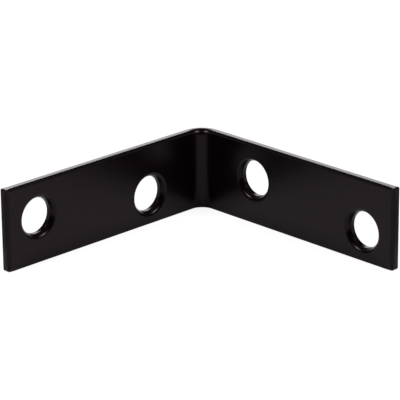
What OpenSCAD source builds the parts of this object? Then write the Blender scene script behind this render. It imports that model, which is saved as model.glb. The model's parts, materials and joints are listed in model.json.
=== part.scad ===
// Corner brace: one flat strip, bent square, with four staggered countersunk screw holes.
// It stands on a long edge. Its two seating faces lie in the planes x = 0 and y = 0 and would
// meet on the Z axis if the bend were sharp, so the origin is the foot of that outer corner.

/* [Strip] */
// Length of each leg, from the outer corner to its end
leg_length = 50.8; // [45:0.1:90]
// Width of the strip, which is the height of the brace on its edge
strip_width = 15.875; // [14.5:0.125:30]
// Thickness of the strip
strip_thickness = 1.8; // [1.4:0.1:3]
// Radius that softens every edge of the strip
edge_radius = 0.35; // [0.1:0.05:0.6]

/* [Bend] */
// Radius on the inside of the bend
bend_radius = 2.5; // [0.8:0.1:8]

/* [Screw holes] */
// Diameter of the cylindrical wall at the seating face
hole_diameter = 6.9; // [6.2:0.1:7.4]
// Diameter at which the cone of the countersink would meet the inner face
countersink_diameter = 8; // [7.5:0.1:8.8]
// Included angle of the countersink
countersink_angle = 60; // [50:1:120]
// Radius of the rounding between the countersink and the inner face
rim_radius = 0.8; // [0.1:0.05:1.5]
// Distance from the outer corner to the hole nearest the bend
near_hole_distance = 15.5; // [14:0.1:25]
// Distance from the end of a leg to the hole nearest that end
end_hole_inset = 7.5; // [5.5:0.1:14]
// Height of the upper row of holes above the middle of the strip
upper_row_rise = 0.9; // [0:0.1:2.1]
// Depth of the lower row of holes below the middle of the strip
lower_row_drop = 2.1; // [0:0.1:2.1]

/* [Hidden] */
$fn = 96;
paint = "#1c1a1b";
outer_bend_radius = bend_radius + strip_thickness;
straight_length = leg_length - outer_bend_radius - edge_radius;
core_thickness = strip_thickness - 2 * edge_radius;
core_width = strip_width - 2 * edge_radius;
end_hole_distance = leg_length - end_hole_inset;
upper_row = strip_width / 2 + upper_row_rise;
lower_row = strip_width / 2 - lower_row_drop;
countersink_slope = tan(countersink_angle / 2);
countersink_depth = (countersink_diameter - hole_diameter) / 2 / countersink_slope;
// How far a cutter runs past the face that it leaves
cut_margin = 0.5;
// Height of the top of the rim's rounding above the inner face, so that the two faces cross
rim_lift = 0.01;

// Section of the strip with softened corners: thickness along x, width along y
module strip_section() {
    translate([edge_radius, 0])
        square([core_thickness, strip_width]);
    translate([0, edge_radius])
        square([strip_thickness, core_width]);
    for (x = [edge_radius, strip_thickness - edge_radius], y = [edge_radius, strip_width - edge_radius])
        translate([x, y])
            circle(r = edge_radius);
}

// Quarter of a leg's free end: flat core, two rounded edges and the rounded corner between them
module rounded_end_quarter() {
    cube([core_thickness / 2, core_width / 2, edge_radius]);
    translate([core_thickness / 2, 0, 0])
        rotate([-90, -90, 0])
            rotate_extrude(angle = 90)
                square([edge_radius, core_width / 2]);
    translate([0, core_width / 2, 0])
        rotate([0, 90, 0])
            rotate([0, 0, 90])
                rotate_extrude(angle = 90)
                    square([edge_radius, core_thickness / 2]);
    translate([core_thickness / 2, core_width / 2, 0])
        rotate_extrude(angle = 90)
            intersection() {
                circle(r = edge_radius);
                square(edge_radius);
            }
}

// Free end of a leg on the outline of strip_section(), rising along z
module rounded_end() {
    translate([strip_thickness / 2, strip_width / 2, 0])
        for (flip_x = [0, 1], flip_y = [0, 1])
            mirror([flip_x, 0, 0])
                mirror([0, flip_y, 0])
                    rounded_end_quarter();
}

// Half section of the cutter for one hole: radius along x, height above the seating face along y.
// The rounding of the rim is an arc in the metal, tangent to the cone.
module screw_hole_section() {
    half_angle = countersink_angle / 2;
    arc_height = strip_thickness + rim_lift - rim_radius;
    arc_place = countersink_diameter / 2
        + (rim_lift - rim_radius) * countersink_slope
        + rim_radius / cos(half_angle);
    difference() {
        polygon([
            [0, -cut_margin],
            [hole_diameter / 2, -cut_margin],
            [hole_diameter / 2, strip_thickness - countersink_depth],
            [arc_place - rim_radius * cos(half_angle), arc_height + rim_radius * sin(half_angle)],
            [arc_place, arc_height],
            [arc_place, strip_thickness + cut_margin],
            [0, strip_thickness + cut_margin]
        ]);
        translate([arc_place, arc_height])
            circle(r = rim_radius);
    }
}

// Cutter for one screw hole, along z from the seating face at z = 0 to the inner face
module screw_hole() {
    rotate_extrude()
        screw_hole_section();
}

// Leg along +x with its seating face in the plane y = 0 and its inner face towards -y
module leg(near_row, end_row) {
    difference() {
        translate([outer_bend_radius, 0, 0])
            rotate([90, 0, 90])
                mirror([1, 0, 0]) {
                    linear_extrude(straight_length)
                        strip_section();
                    translate([0, 0, straight_length])
                        rounded_end();
                }
        for (place = [[near_hole_distance, near_row], [end_hole_distance, end_row]])
            translate([place[0], 0, place[1]])
                rotate([90, 0, 0])
                    screw_hole();
    }
}

// Quarter turn of the section that joins the two legs
module bend() {
    translate([outer_bend_radius, -outer_bend_radius, 0])
        rotate([0, 0, 90])
            rotate_extrude(angle = 90)
                translate([outer_bend_radius, 0])
                    mirror([1, 0, 0])
                        strip_section();
}

// The rows swap places from one leg to the other, so the four holes run in a zigzag
module brace() {
    color(paint) {
        leg(upper_row, lower_row);
        bend();
        mirror([1, 1, 0])
            leg(lower_row, upper_row);
    }
}

brace();
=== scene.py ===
import cmath
import json
import math

import bmesh
import bpy
import numpy as np
from mathutils import Matrix, Vector

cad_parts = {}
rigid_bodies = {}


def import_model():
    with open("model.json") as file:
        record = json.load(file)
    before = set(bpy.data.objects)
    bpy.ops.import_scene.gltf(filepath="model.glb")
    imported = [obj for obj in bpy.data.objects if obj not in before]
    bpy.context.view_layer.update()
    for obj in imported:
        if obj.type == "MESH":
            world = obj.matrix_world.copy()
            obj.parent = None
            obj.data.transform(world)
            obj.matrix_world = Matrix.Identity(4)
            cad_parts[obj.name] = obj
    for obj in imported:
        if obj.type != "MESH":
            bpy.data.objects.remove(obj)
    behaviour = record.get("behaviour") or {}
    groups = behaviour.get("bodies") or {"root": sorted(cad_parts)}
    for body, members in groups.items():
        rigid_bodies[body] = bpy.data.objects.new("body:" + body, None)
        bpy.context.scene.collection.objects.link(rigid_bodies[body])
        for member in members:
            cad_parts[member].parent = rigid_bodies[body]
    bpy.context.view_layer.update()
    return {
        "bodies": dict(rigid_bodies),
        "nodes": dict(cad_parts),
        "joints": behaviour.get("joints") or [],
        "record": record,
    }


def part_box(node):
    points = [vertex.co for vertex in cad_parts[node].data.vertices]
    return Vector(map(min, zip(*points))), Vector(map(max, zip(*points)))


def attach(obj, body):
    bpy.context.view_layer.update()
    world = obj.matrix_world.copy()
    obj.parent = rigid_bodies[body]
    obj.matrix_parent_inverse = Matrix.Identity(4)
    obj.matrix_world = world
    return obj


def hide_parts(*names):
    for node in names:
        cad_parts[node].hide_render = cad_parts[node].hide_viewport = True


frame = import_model()

# Everything is in metres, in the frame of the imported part: seating faces in x = 0 and y = 0,
# one leg along +x and the other along -y, the width of the strip along +z.
MM = 0.001

# Form of the strip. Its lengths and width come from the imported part.
THICKNESS = 1.8 * MM
BEND_RADIUS = 2.5 * MM
EDGE_RADIUS = 0.35 * MM
# The long edges: the upper ones are softer, and the lower edge of the inner face is crisper
UPPER_INNER_RADIUS = 0.6 * MM
UPPER_OUTER_RADIUS = 0.5 * MM
LOWER_INNER_RADIUS = 0.2 * MM
# The shears leave the inner edge of each free end fuller
SHEARED_EDGE_RADIUS = 0.75 * MM
# Length over which an edge takes its own radius beside a corner
CORNER_REACH = 1.0 * MM
# The bending draws the upper edges rounder, the inner one most
BENT_INNER_RADIUS = 1.2 * MM
BENT_OUTER_RADIUS = 0.55 * MM
# Half the length of strip over which they turn rounder and back
BENT_EDGE_REACH = 4.2 * MM

# Form of the holes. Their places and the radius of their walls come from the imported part.
COUNTERSINK_DIAMETER = 8.0 * MM
COUNTERSINK_ANGLE = math.radians(60)
RIM_SOFTENING = 0.8 * MM
THROAT_SOFTENING = 0.1 * MM
BACK_SOFTENING = 0.05 * MM

# Fineness of the mesh
WIDTH_STEPS = 32
HOLE_BLOCK_STEPS = 32
BEND_STEPS = 48
PLAIN_STEP = 0.8 * MM
CORNER_STEPS = 6
# Half the length of the block of strip around a hole, in radii of the countersink
HOLE_BLOCK_REACH = 1.4
# Length of face at each end of a hole's section, from where its edge would be sharp. It is
# longer than the rounding of the rim reaches.
HOLE_FACE_RUN = 0.5 * MM
# Rings of a face around a hole, as shares of the way from the hole to its block's outline
FACE_RING_SHARES = (1.0, 0.6, 0.25)
WELD_DISTANCE = 1e-7
# The two faces of the strip: depth, whether it is the inner one, and way that it faces along d
FACES = ((THICKNESS, True, 1), (0.0, False, -1))

# Camera
CAMERA_AZIMUTH = math.radians(45.76)
CAMERA_ELEVATION = math.radians(20.24)
CAMERA_ROLL = math.radians(-0.51)
CAMERA_DISTANCE = 492.95 * MM
CAMERA_LENS = 227.9
CAMERA_SENSOR_WIDTH = 36.0
CLIP_START = 0.05
CLIP_END = 20.0
# The camera looks at a point beside and below the middle of the outer corner's height
AIM_SIDEWAYS = -0.456 * MM
AIM_BELOW = 7.69 * MM

# Floor
FLOOR_SIZE = 8.0
FLOOR_GAP = 0.02 * MM
FLOOR_COLOR = (0.76, 0.76, 0.76, 1.0)
# Strength of the plain white in the floor, and its shares there: as the camera sees the floor,
# and as it shows in the paint
FLOOR_WHITE_STRENGTH = 1.06
FLOOR_WHITENESS = 0.85
FLOOR_WHITENESS_IN_PAINT = 0.35

# White room, and the dark cards that hide parts of it from the brace
WHITE = (1.0, 1.0, 1.0, 1.0)
ROOM_STRENGTH = 1.0
BLACK = (0.002, 0.002, 0.002, 1.0)
CEILING_HEIGHT = 1.1
CEILING_SIZE = 6.0
FRONT_CARD_DISTANCE = 1.0
FRONT_CARD_WIDTH = 3.0

# Grey boards on the floor beside the two free ends, just outside the picture. Their bounds are
# distances from the outer corner, to either side of the camera's view and towards the camera.
SIDE_BOARD_FROM = 46 * MM
SIDE_BOARD_TO = 200 * MM
SIDE_BOARD_BACK = -30 * MM
SIDE_BOARD_FRONT = 64 * MM
SIDE_BOARD_GREY = (0.4, 0.4, 0.4, 1.0)

# Soft boxes. A direction has its parts to the camera's right, towards the camera and upwards.
BACK_BOX_DIRECTION = (-0.1, -0.88, 0.46)
BACK_BOX_DISTANCE = 1.0
BACK_BOX_WIDTH = 0.5
BACK_BOX_HEIGHT = 0.4
BACK_BOX_RADIANCE = 5.0
# The side boxes are a pair, and this is the direction of the right one
SIDE_BOX_DIRECTION = (0.54, 0.26, 0.8)
SIDE_BOX_DISTANCE = 0.8
SIDE_BOX_WIDTH = 0.24
SIDE_BOX_HEIGHT = 0.28
SIDE_BOX_RADIANCE = 26.0

# Paint
DARK_PAINT = (0.0009, 0.0003, 0.0005, 1)
LIGHT_PAINT = (0.0017, 0.0006, 0.001, 1)
PAINT_SPECULAR = 0.136
PAINT_SHEEN_TINT = (1.0, 0.77, 0.86, 1)
# The gloss and the colour vary in soft clouds, and the orange peel is a fine grain
CLOUD_SCALE = 140.0
CLOUD_DETAIL = 3.0
GLOSSIEST_ROUGHNESS = 0.25
DULLEST_ROUGHNESS = 0.3
PEEL_SCALE = 1400.0
PEEL_DETAIL = 2.0
PEEL_DEPTH = 0.003 * MM


def across_camera(sideways, towards, up):
    """A direction given as parts to the camera's right, towards the camera and upwards."""
    right = Vector((math.cos(CAMERA_AZIMUTH), math.sin(CAMERA_AZIMUTH), 0))
    front = Vector((math.sin(CAMERA_AZIMUTH), -math.cos(CAMERA_AZIMUTH), 0))
    return sideways * right + towards * front + Vector((0, 0, up))


def eased(distance, reach):
    """A soft rise from 0 to 1 over the reach, and its slope."""
    angle = np.clip(distance / reach, 0, 1) * math.pi / 2
    return np.sin(angle) ** 2, np.sin(2 * angle) * math.pi / 2 / reach


class Strip:
    """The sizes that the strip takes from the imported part, and its flat layout.

    The strip is laid out flat before it is bent. A flat point is (s, z, d): s runs along the
    strip from the end of the leg along -y to the end of the leg along +x with 0 in the middle
    of the bend, z is the height and d the depth from the seating face to the inner face.
    """

    def __init__(self, frame):
        low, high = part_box("brace")
        self.width = high.z - low.z
        self.outer_radius = BEND_RADIUS + THICKNESS
        self.middle_radius = self.outer_radius - THICKNESS / 2
        self.bend_half = self.middle_radius * math.pi / 4
        self.half_length = self.bend_half + high.x - self.outer_radius
        self.holes = []
        for mount in frame["record"]["mounts"]:
            if mount["kind"] == "bore":
                x, y, z = mount["pos_m"]
                along = self.bend_half + max(x, -y) - self.outer_radius
                side = 1 if x > -y else -1
                self.holes.append((side * along, z))
                self.hole_radius = mount["dims"]["r_mm"] * MM
        self.holes.sort()

    def long_edge(self, s, z, inner):
        """Radius of the long edge near the point at s and z, and its slope along s."""
        upper = z > self.width / 2
        if inner:
            plain = np.where(upper, UPPER_INNER_RADIUS, LOWER_INNER_RADIUS)
            bent = np.where(upper, BENT_INNER_RADIUS, plain)
        else:
            plain = np.where(upper, UPPER_OUTER_RADIUS, EDGE_RADIUS)
            bent = np.where(upper, BENT_OUTER_RADIUS, plain)
        end = self.half_length - EDGE_RADIUS
        own, own_slope = eased(end - np.abs(s), CORNER_REACH)
        straight, straight_slope = eased(np.abs(s), BENT_EDGE_REACH)
        radius = EDGE_RADIUS + (plain - EDGE_RADIUS) * own + (bent - plain) * (1 - straight)
        slope = -(plain - EDGE_RADIUS) * own_slope - (bent - plain) * straight_slope
        return radius, slope * np.sign(s)

    def end_edge(self, z, inner):
        """Radius of the edge across the strip at height z, and its slope along z."""
        growth = SHEARED_EDGE_RADIUS - EDGE_RADIUS if inner else 0
        own, slope = eased(np.minimum(z, self.width - z) - EDGE_RADIUS, CORNER_REACH)
        return EDGE_RADIUS + growth * own, growth * slope * np.sign(self.width / 2 - z)

    def face_span(self, stations, inner):
        """Lower and upper bounds of the flat part of a face at the stations."""
        low = self.long_edge(stations, 0, inner)[0]
        high = self.width - self.long_edge(stations, self.width, inner)[0]
        return low, high

    def bent(self, points, normals):
        """Flat points and normals, bent into the square of the brace."""
        s, z, d = points[..., 0], points[..., 1], points[..., 2]
        # Direction of the strip at each point, and how far the point lies beyond the bend
        angle = math.pi / 4 - np.clip(s / self.bend_half, -1, 1) * math.pi / 4
        beyond = s - np.clip(s, -self.bend_half, self.bend_half)
        along = np.stack([np.cos(angle), np.sin(angle), np.zeros_like(s)], -1)
        inward = np.stack([np.sin(angle), -np.cos(angle), np.zeros_like(s)], -1)
        centre = np.array([self.outer_radius, -self.outer_radius, 0])
        radius = self.outer_radius - d
        bent_points = centre - inward * radius[..., None] + along * beyond[..., None]
        bent_points[..., 2] = z
        # The bend stretches the outside and squeezes the inside, which tilts the normals
        stretch = np.where(beyond == 0, radius / self.middle_radius, 1.0)
        bent_normals = (
            along * (normals[..., 0] / stretch)[..., None]
            + inward * normals[..., 2][..., None]
        )
        bent_normals[..., 2] = normals[..., 1]
        bent_normals /= np.linalg.norm(bent_normals, axis=-1, keepdims=True)
        return bent_points, bent_normals


def softened(corners, radii):
    """A line through corners, with an arc of its own radius at each inner corner.

    Points are complex numbers. It returns them with the normals of the line, which lie to the
    right of the way along it.
    """
    points, normals = [corners[0]], []
    for before, corner, after, radius in zip(corners, corners[1:], corners[2:], radii):
        arriving = (corner - before) / abs(corner - before)
        turned = cmath.phase((after - corner) / arriving)
        side = math.copysign(1, turned)
        start = corner - arriving * radius * math.tan(abs(turned) / 2)
        outward = -1j * arriving
        centre = start - side * radius * outward
        for step in range(CORNER_STEPS + 1):
            normals.append(outward * cmath.rect(1, turned * step / CORNER_STEPS))
            points.append(centre + side * radius * normals[-1])
    points.append(corners[-1])
    return points, [normals[0], *normals, normals[-1]]


class Sheets:
    """Grids of flat points with their normals, to be welded into one closed skin."""

    def __init__(self):
        self.grids = []

    def add(self, points, normals, closed=False):
        self.grids.append((points, normals, closed))

    def mesh(self, name, strip):
        """One mesh of all the grids, bent, with the smooth normals that each point states."""
        shape = bmesh.new()
        stated = shape.verts.layers.float_vector.new("stated_normal")
        for points, normals, closed in self.grids:
            places, outward = strip.bent(points, normals)
            rows, columns = points.shape[:2]
            grid = []
            for i in range(rows):
                grid.append([])
                for j in range(columns):
                    vertex = shape.verts.new(places[i, j])
                    vertex[stated] = outward[i, j]
                    grid[i].append(vertex)
            for i in range(rows - 1):
                for j in range(columns if closed else columns - 1):
                    k = (j + 1) % columns
                    face = shape.faces.new((grid[i][j], grid[i][k], grid[i + 1][k], grid[i + 1][j]))
                    face.smooth = True
        bmesh.ops.remove_doubles(shape, verts=shape.verts, dist=WELD_DISTANCE)
        bmesh.ops.recalc_face_normals(shape, faces=shape.faces)
        shape.verts.ensure_lookup_table()
        normals = [tuple(vertex[stated]) for vertex in shape.verts]
        shape.verts.layers.float_vector.remove(stated)
        mesh = bpy.data.meshes.new(name)
        shape.to_mesh(mesh)
        shape.free()
        mesh.normals_split_custom_set_from_vertices(normals)
        return mesh


def flat_normals(points, depth_sign):
    """Normals of a face of the flat strip: along +d on the inner face, along -d on the other."""
    normals = np.zeros_like(points)
    normals[..., 2] = depth_sign
    return normals


def plain_block(sheets, strip, stations):
    """Both faces of a stretch of strip with no hole, from long edge to long edge."""
    share = np.linspace(0, 1, WIDTH_STEPS + 1)[:, None]
    for depth, inner, sign in FACES:
        low, high = strip.face_span(stations, inner)
        z = low + (high - low) * share
        end = strip.half_length - strip.end_edge(z, inner)[0]
        points = np.stack([np.clip(stations, -end, end), z, np.full_like(z, depth)], -1)
        sheets.add(points, flat_normals(points, sign))


def block_outline(strip, stations, inner):
    """Outline of a stretch of one face, run round once from its first lower corner."""
    low, high = strip.face_span(stations, inner)
    share = np.linspace(0, 1, WIDTH_STEPS + 1)[:-1]
    s = [stations[:-1], np.full_like(share, stations[-1])]
    s += [stations[:0:-1], np.full_like(share, stations[0])]
    z = [low[:-1], low[-1] + (high[-1] - low[-1]) * share]
    z += [high[:0:-1], high[0] - (high[0] - low[0]) * share]
    return np.column_stack([np.concatenate(s), np.concatenate(z)])


def hole_profile(strip):
    """Section of a hole from the inner face to the seating face, and the normals of its line.

    Both are complex numbers: radius + i * depth.
    """
    rim = COUNTERSINK_DIAMETER / 2
    throat_depth = THICKNESS - (rim - strip.hole_radius) / math.tan(COUNTERSINK_ANGLE / 2)
    corners = [
        complex(rim + HOLE_FACE_RUN, THICKNESS),
        complex(rim, THICKNESS),
        complex(strip.hole_radius, throat_depth),
        complex(strip.hole_radius, 0),
        complex(strip.hole_radius + HOLE_FACE_RUN, 0),
    ]
    return softened(corners, [RIM_SOFTENING, THROAT_SOFTENING, BACK_SOFTENING])


def hole_block(sheets, strip, hole, stations):
    """A stretch of strip around one hole: both faces and the wall of the hole in one ring."""
    centre = np.array(hole)
    spokes = block_outline(strip, stations, inner=False) - centre
    spokes /= np.linalg.norm(spokes, axis=1, keepdims=True)
    profile, profile_normals = hole_profile(strip)
    rows, row_normals = [], []

    def add_row(flat, depth, radial, axial):
        rows.append(np.column_stack([flat, np.full(len(flat), depth)]))
        row_normals.append(np.column_stack([spokes * radial, np.full(len(flat), axial)]))

    def add_face(depth, radius, shares, axial):
        outline = block_outline(strip, stations, inner=axial > 0)
        ring = centre + spokes * radius
        for share in shares:
            add_row(ring + (outline - ring) * share, depth, 0.0, axial)

    add_face(THICKNESS, profile[0].real, FACE_RING_SHARES, 1.0)
    for point, normal in zip(profile, profile_normals):
        add_row(centre + spokes * point.real, point.imag, normal.real, normal.imag)
    add_face(0.0, profile[-1].real, FACE_RING_SHARES[::-1], -1.0)
    sheets.add(np.array(rows), np.array(row_normals), closed=True)


def outer_edge(sheets, strip, stations):
    """The narrow sides of the strip all the way round, with their softened edges."""
    end = strip.half_length - EDGE_RADIUS
    low, high = EDGE_RADIUS, strip.width - EDGE_RADIUS
    heights = np.linspace(low, high, WIDTH_STEPS + 1)
    places, outward = [], []

    def add(s, z, angle):
        facing = (math.cos(angle), math.sin(angle))
        places.append((s + facing[0] * EDGE_RADIUS, z + facing[1] * EDGE_RADIUS))
        outward.append(facing)

    def add_corner(s, z, start):
        for step in range(1, CORNER_STEPS):
            add(s, z, start + math.pi / 2 * step / CORNER_STEPS)

    for s in stations:
        add(s, low, -math.pi / 2)
    add_corner(end, low, -math.pi / 2)
    for z in heights:
        add(end, z, 0.0)
    add_corner(end, high, 0.0)
    for s in stations[::-1]:
        add(s, high, math.pi / 2)
    add_corner(-end, high, math.pi / 2)
    for z in heights[::-1]:
        add(-end, z, math.pi)
    add_corner(-end, low, math.pi)

    places, outward = np.array(places), np.array(outward)
    # The edge runs across a free end or along the strip, and where its radius changes on the
    # way, its normals lean
    across = np.abs(outward[:, 0]) == 1
    along_edge = np.column_stack([~across, across])
    rows, row_normals = [], []
    for depth, inner, sign in FACES:
        long_edge = strip.long_edge(places[:, 0], places[:, 1], inner)
        radius, slope = np.where(across, strip.end_edge(places[:, 1], inner), long_edge)
        steps = range(CORNER_STEPS + 1) if sign > 0 else range(CORNER_STEPS, -1, -1)
        for step in steps:
            turn = math.pi / 2 * step / CORNER_STEPS
            sin, cos = math.sin(turn), math.cos(turn)
            flat = places - outward * (radius * (1 - sin))[:, None]
            lean = slope * ((1 - sin) * sin + (1 - cos) * cos)
            facing = outward * sin + along_edge * lean[:, None]
            rows.append(np.column_stack([flat, depth - sign * radius * (1 - cos)]))
            row_normals.append(np.column_stack([facing, np.full(len(flat), sign * cos)]))
    sheets.add(np.array(rows), np.array(row_normals), closed=True)


def make_brace(strip):
    """The whole brace as one closed skin: blocks along the strip, then its outer edge."""
    reach = COUNTERSINK_DIAMETER / 2 * HOLE_BLOCK_REACH
    end = strip.half_length - EDGE_RADIUS
    sheets = Sheets()
    marks = [-end]
    for s, _ in strip.holes:
        marks += [s - reach, s + reach]
    marks.append(end)
    middle = len(marks) // 2
    marks = marks[:middle] + [-strip.bend_half, strip.bend_half] + marks[middle:]
    all_stations = [marks[0]]
    for first, last in zip(marks, marks[1:]):
        hole = [h for h in strip.holes if first < h[0] < last]
        if hole:
            stations = np.linspace(first, last, HOLE_BLOCK_STEPS + 1)
            hole_block(sheets, strip, hole[0], stations)
        else:
            bend = first == -strip.bend_half
            steps = BEND_STEPS if bend else math.ceil((last - first) / PLAIN_STEP)
            stations = np.linspace(first, last, steps + 1)
            plain_block(sheets, strip, stations)
        all_stations += list(stations[1:])
    outer_edge(sheets, strip, np.array(all_stations))
    piece = bpy.data.objects.new("painted_strip", sheets.mesh("painted_strip", strip))
    bpy.context.scene.collection.objects.link(piece)
    return piece


class Nodes:
    """Shorthand for building one node tree."""

    def __init__(self, owner):
        owner.use_nodes = True
        self.tree = owner.node_tree
        self.tree.nodes.clear()

    def add(self, kind, inputs, **settings):
        """Adds a node. Inputs are given by name or place, as values or as sockets to link."""
        node = self.tree.nodes.new(kind)
        for name, value in settings.items():
            setattr(node, name, value)
        named = {socket.name: socket for socket in node.inputs if socket.enabled}
        for name, value in inputs.items():
            socket = node.inputs[name] if isinstance(name, int) else named[name]
            if isinstance(value, bpy.types.NodeSocket):
                self.tree.links.new(value, socket)
            else:
                socket.default_value = value
        return [socket for socket in node.outputs if socket.enabled]

    def seen_share(self, share, mirrored_share):
        """One share for camera rays, one for glossy and transmission rays, 0 for the others."""
        node = self.tree.nodes.new("ShaderNodeLightPath")
        rays = [node.outputs[f"Is {kind} Ray"] for kind in ("Camera", "Glossy", "Transmission")]
        either = self.add("ShaderNodeMath", {0: rays[1], 1: rays[2]}, operation="MAXIMUM")[0]
        mirrored = self.add("ShaderNodeMath", {0: either, 1: mirrored_share}, operation="MULTIPLY")[0]
        seen = self.add("ShaderNodeMath", {0: rays[0], 1: share}, operation="MULTIPLY")[0]
        return self.add("ShaderNodeMath", {0: mirrored, 1: seen}, operation="MAXIMUM")[0]


def paint_material():
    """Satin black paint with a faint orange peel and a slightly uneven gloss."""
    material = bpy.data.materials.new("satin_black_paint")
    nodes = Nodes(material)
    place = nodes.tree.nodes.new("ShaderNodeTexCoord").outputs["Object"]
    cloud = nodes.add(
        "ShaderNodeTexNoise", {"Vector": place, "Scale": CLOUD_SCALE, "Detail": CLOUD_DETAIL}
    )[0]
    grain = nodes.add(
        "ShaderNodeTexNoise", {"Vector": place, "Scale": PEEL_SCALE, "Detail": PEEL_DETAIL}
    )[0]
    gloss = nodes.add(
        "ShaderNodeMapRange",
        {"Value": cloud, "To Min": GLOSSIEST_ROUGHNESS, "To Max": DULLEST_ROUGHNESS},
    )[0]
    color = nodes.add(
        "ShaderNodeMix", {"Factor": cloud, "A": DARK_PAINT, "B": LIGHT_PAINT}, data_type="RGBA"
    )[0]
    peel = nodes.add("ShaderNodeBump", {"Height": grain, "Distance": PEEL_DEPTH})[0]
    paint = nodes.add(
        "ShaderNodeBsdfPrincipled",
        {
            "Base Color": color,
            "Roughness": gloss,
            "Normal": peel,
            "Specular IOR Level": PAINT_SPECULAR,
            "Specular Tint": PAINT_SHEEN_TINT,
        },
    )[0]
    nodes.add("ShaderNodeOutputMaterial", {"Surface": paint})
    return material


def floor_material():
    """Pale floor that shows as plain white and still takes the soft shadow of the brace."""
    material = bpy.data.materials.new("white_floor")
    nodes = Nodes(material)
    lit = nodes.add("ShaderNodeBsdfDiffuse", {"Color": FLOOR_COLOR})[0]
    white = nodes.add(
        "ShaderNodeEmission", {"Color": WHITE, "Strength": FLOOR_WHITE_STRENGTH}
    )[0]
    share = nodes.seen_share(FLOOR_WHITENESS, FLOOR_WHITENESS_IN_PAINT)
    floor = nodes.add("ShaderNodeMixShader", {0: share, 1: lit, 2: white})[0]
    nodes.add("ShaderNodeOutputMaterial", {"Surface": floor})
    return material


def card_material(name, color):
    """Plain cloth for the cards and boards that the paint reflects."""
    material = bpy.data.materials.new(name)
    nodes = Nodes(material)
    cloth = nodes.add("ShaderNodeBsdfDiffuse", {"Color": color})[0]
    nodes.add("ShaderNodeOutputMaterial", {"Surface": cloth})
    return material


def make_panel(name, centre, right, up, width, height):
    """A flat rectangle, given by its centre, two directions and its size."""
    half_right, half_up = right * width / 2, up * height / 2
    corners = [
        centre - half_right - half_up,
        centre + half_right - half_up,
        centre + half_right + half_up,
        centre - half_right + half_up,
    ]
    mesh = bpy.data.meshes.new(name)
    mesh.from_pydata(corners, [], [(0, 1, 2, 3)])
    panel = bpy.data.objects.new(name, mesh)
    bpy.context.scene.collection.objects.link(panel)
    return panel


def make_floor():
    """The floor, a hair below the brace."""
    centre = Vector((0, 0, -FLOOR_GAP))
    x_axis, y_axis = Vector((1, 0, 0)), Vector((0, 1, 0))
    floor = make_panel("floor", centre, x_axis, y_axis, FLOOR_SIZE, FLOOR_SIZE)
    floor.data.materials.append(floor_material())


def make_cards():
    """A dark ceiling and a dark wall behind the camera, which the camera doesn't see."""
    sideways, towards, up = across_camera(1, 0, 0), across_camera(0, 1, 0), Vector((0, 0, 1))
    ceiling_place = up * CEILING_HEIGHT
    ceiling = make_panel(
        "ceiling_card", ceiling_place, sideways, towards, CEILING_SIZE, CEILING_SIZE
    )
    front_place = towards * FRONT_CARD_DISTANCE + up * CEILING_HEIGHT / 2
    front = make_panel("front_card", front_place, sideways, up, FRONT_CARD_WIDTH, CEILING_HEIGHT)
    cloth = card_material("black_card", BLACK)
    for card in (ceiling, front):
        card.data.materials.append(cloth)
        card.visible_camera = False


def make_side_boards():
    """Two grey boards that show only as reflections in the end faces of the legs."""
    sideways, towards = across_camera(1, 0, 0), across_camera(0, 1, 0)
    cloth = card_material("grey_board", SIDE_BOARD_GREY)
    width, depth = SIDE_BOARD_TO - SIDE_BOARD_FROM, SIDE_BOARD_FRONT - SIDE_BOARD_BACK
    for side in (-1, 1):
        place = side * sideways * (SIDE_BOARD_FROM + width / 2)
        place = place + towards * (SIDE_BOARD_BACK + depth / 2) + Vector((0, 0, FLOOR_GAP))
        board = make_panel(f"side_board_{side}", place, sideways, towards, width, depth)
        board.data.materials.append(cloth)
        board.visible_camera = False
        board.visible_diffuse = False
        board.visible_shadow = False


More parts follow.
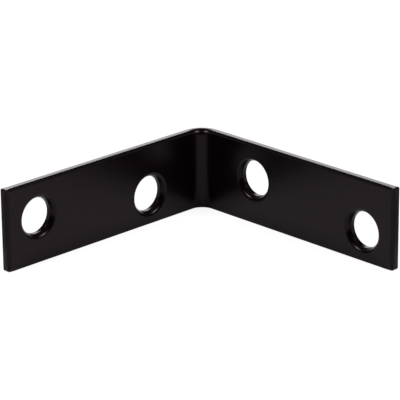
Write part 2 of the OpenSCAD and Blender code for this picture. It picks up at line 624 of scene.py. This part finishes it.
def make_lamp(name, direction, distance, width, height, radiance):
    """A soft box that faces the brace. A perfect mirror shows it as bright as its radiance."""
    data = bpy.data.lights.new(name, "AREA")
    data.shape = "RECTANGLE"
    data.size, data.size_y = width, height
    data.energy = radiance * width * height * math.pi
    lamp = bpy.data.objects.new(name, data)
    direction = direction.normalized()
    lamp.location = direction * distance
    lamp.rotation_mode = "QUATERNION"
    lamp.rotation_quaternion = direction.to_track_quat("Z", "Y")
    lamp.visible_camera = False
    bpy.context.scene.collection.objects.link(lamp)


def make_light():
    """A white room, one soft box behind the brace and a pair above its sides."""
    world = bpy.data.worlds.new("white_room")
    nodes = Nodes(world)
    room = nodes.add("ShaderNodeBackground", {"Color": WHITE, "Strength": ROOM_STRENGTH})[0]
    nodes.add("ShaderNodeOutputWorld", {"Surface": room})
    bpy.context.scene.world = world
    make_lamp(
        "back_box",
        across_camera(*BACK_BOX_DIRECTION),
        BACK_BOX_DISTANCE,
        BACK_BOX_WIDTH,
        BACK_BOX_HEIGHT,
        BACK_BOX_RADIANCE,
    )
    sideways, towards, up = SIDE_BOX_DIRECTION
    for side in (-1, 1):
        make_lamp(
            f"side_box_{side}",
            across_camera(side * sideways, towards, up),
            SIDE_BOX_DISTANCE,
            SIDE_BOX_WIDTH,
            SIDE_BOX_HEIGHT,
            SIDE_BOX_RADIANCE,
        )


def make_camera(strip):
    """The camera of the photograph, set by its angles, distance and lens."""
    data = bpy.data.cameras.new("camera")
    data.lens = CAMERA_LENS
    data.sensor_width = CAMERA_SENSOR_WIDTH
    data.clip_start, data.clip_end = CLIP_START, CLIP_END
    camera = bpy.data.objects.new("camera", data)
    bpy.context.scene.collection.objects.link(camera)
    back = across_camera(0, math.cos(CAMERA_ELEVATION), math.sin(CAMERA_ELEVATION))
    right = across_camera(1, 0, 0)
    up = back.cross(right)
    axes = Matrix((right, up, back)).transposed() @ Matrix.Rotation(CAMERA_ROLL, 3, "Z")
    target = right * AIM_SIDEWAYS + Vector((0, 0, strip.width / 2 - AIM_BELOW))
    camera.matrix_world = Matrix.Translation(target + back * CAMERA_DISTANCE) @ axes.to_4x4()
    bpy.context.scene.camera = camera


strip = Strip(frame)
brace = make_brace(strip)
brace.data.materials.append(paint_material())
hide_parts("brace")
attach(brace, "root")
make_floor()
make_cards()
make_side_boards()
make_light()
make_camera(strip)
bpy.context.scene.view_settings.view_transform = "Standard"
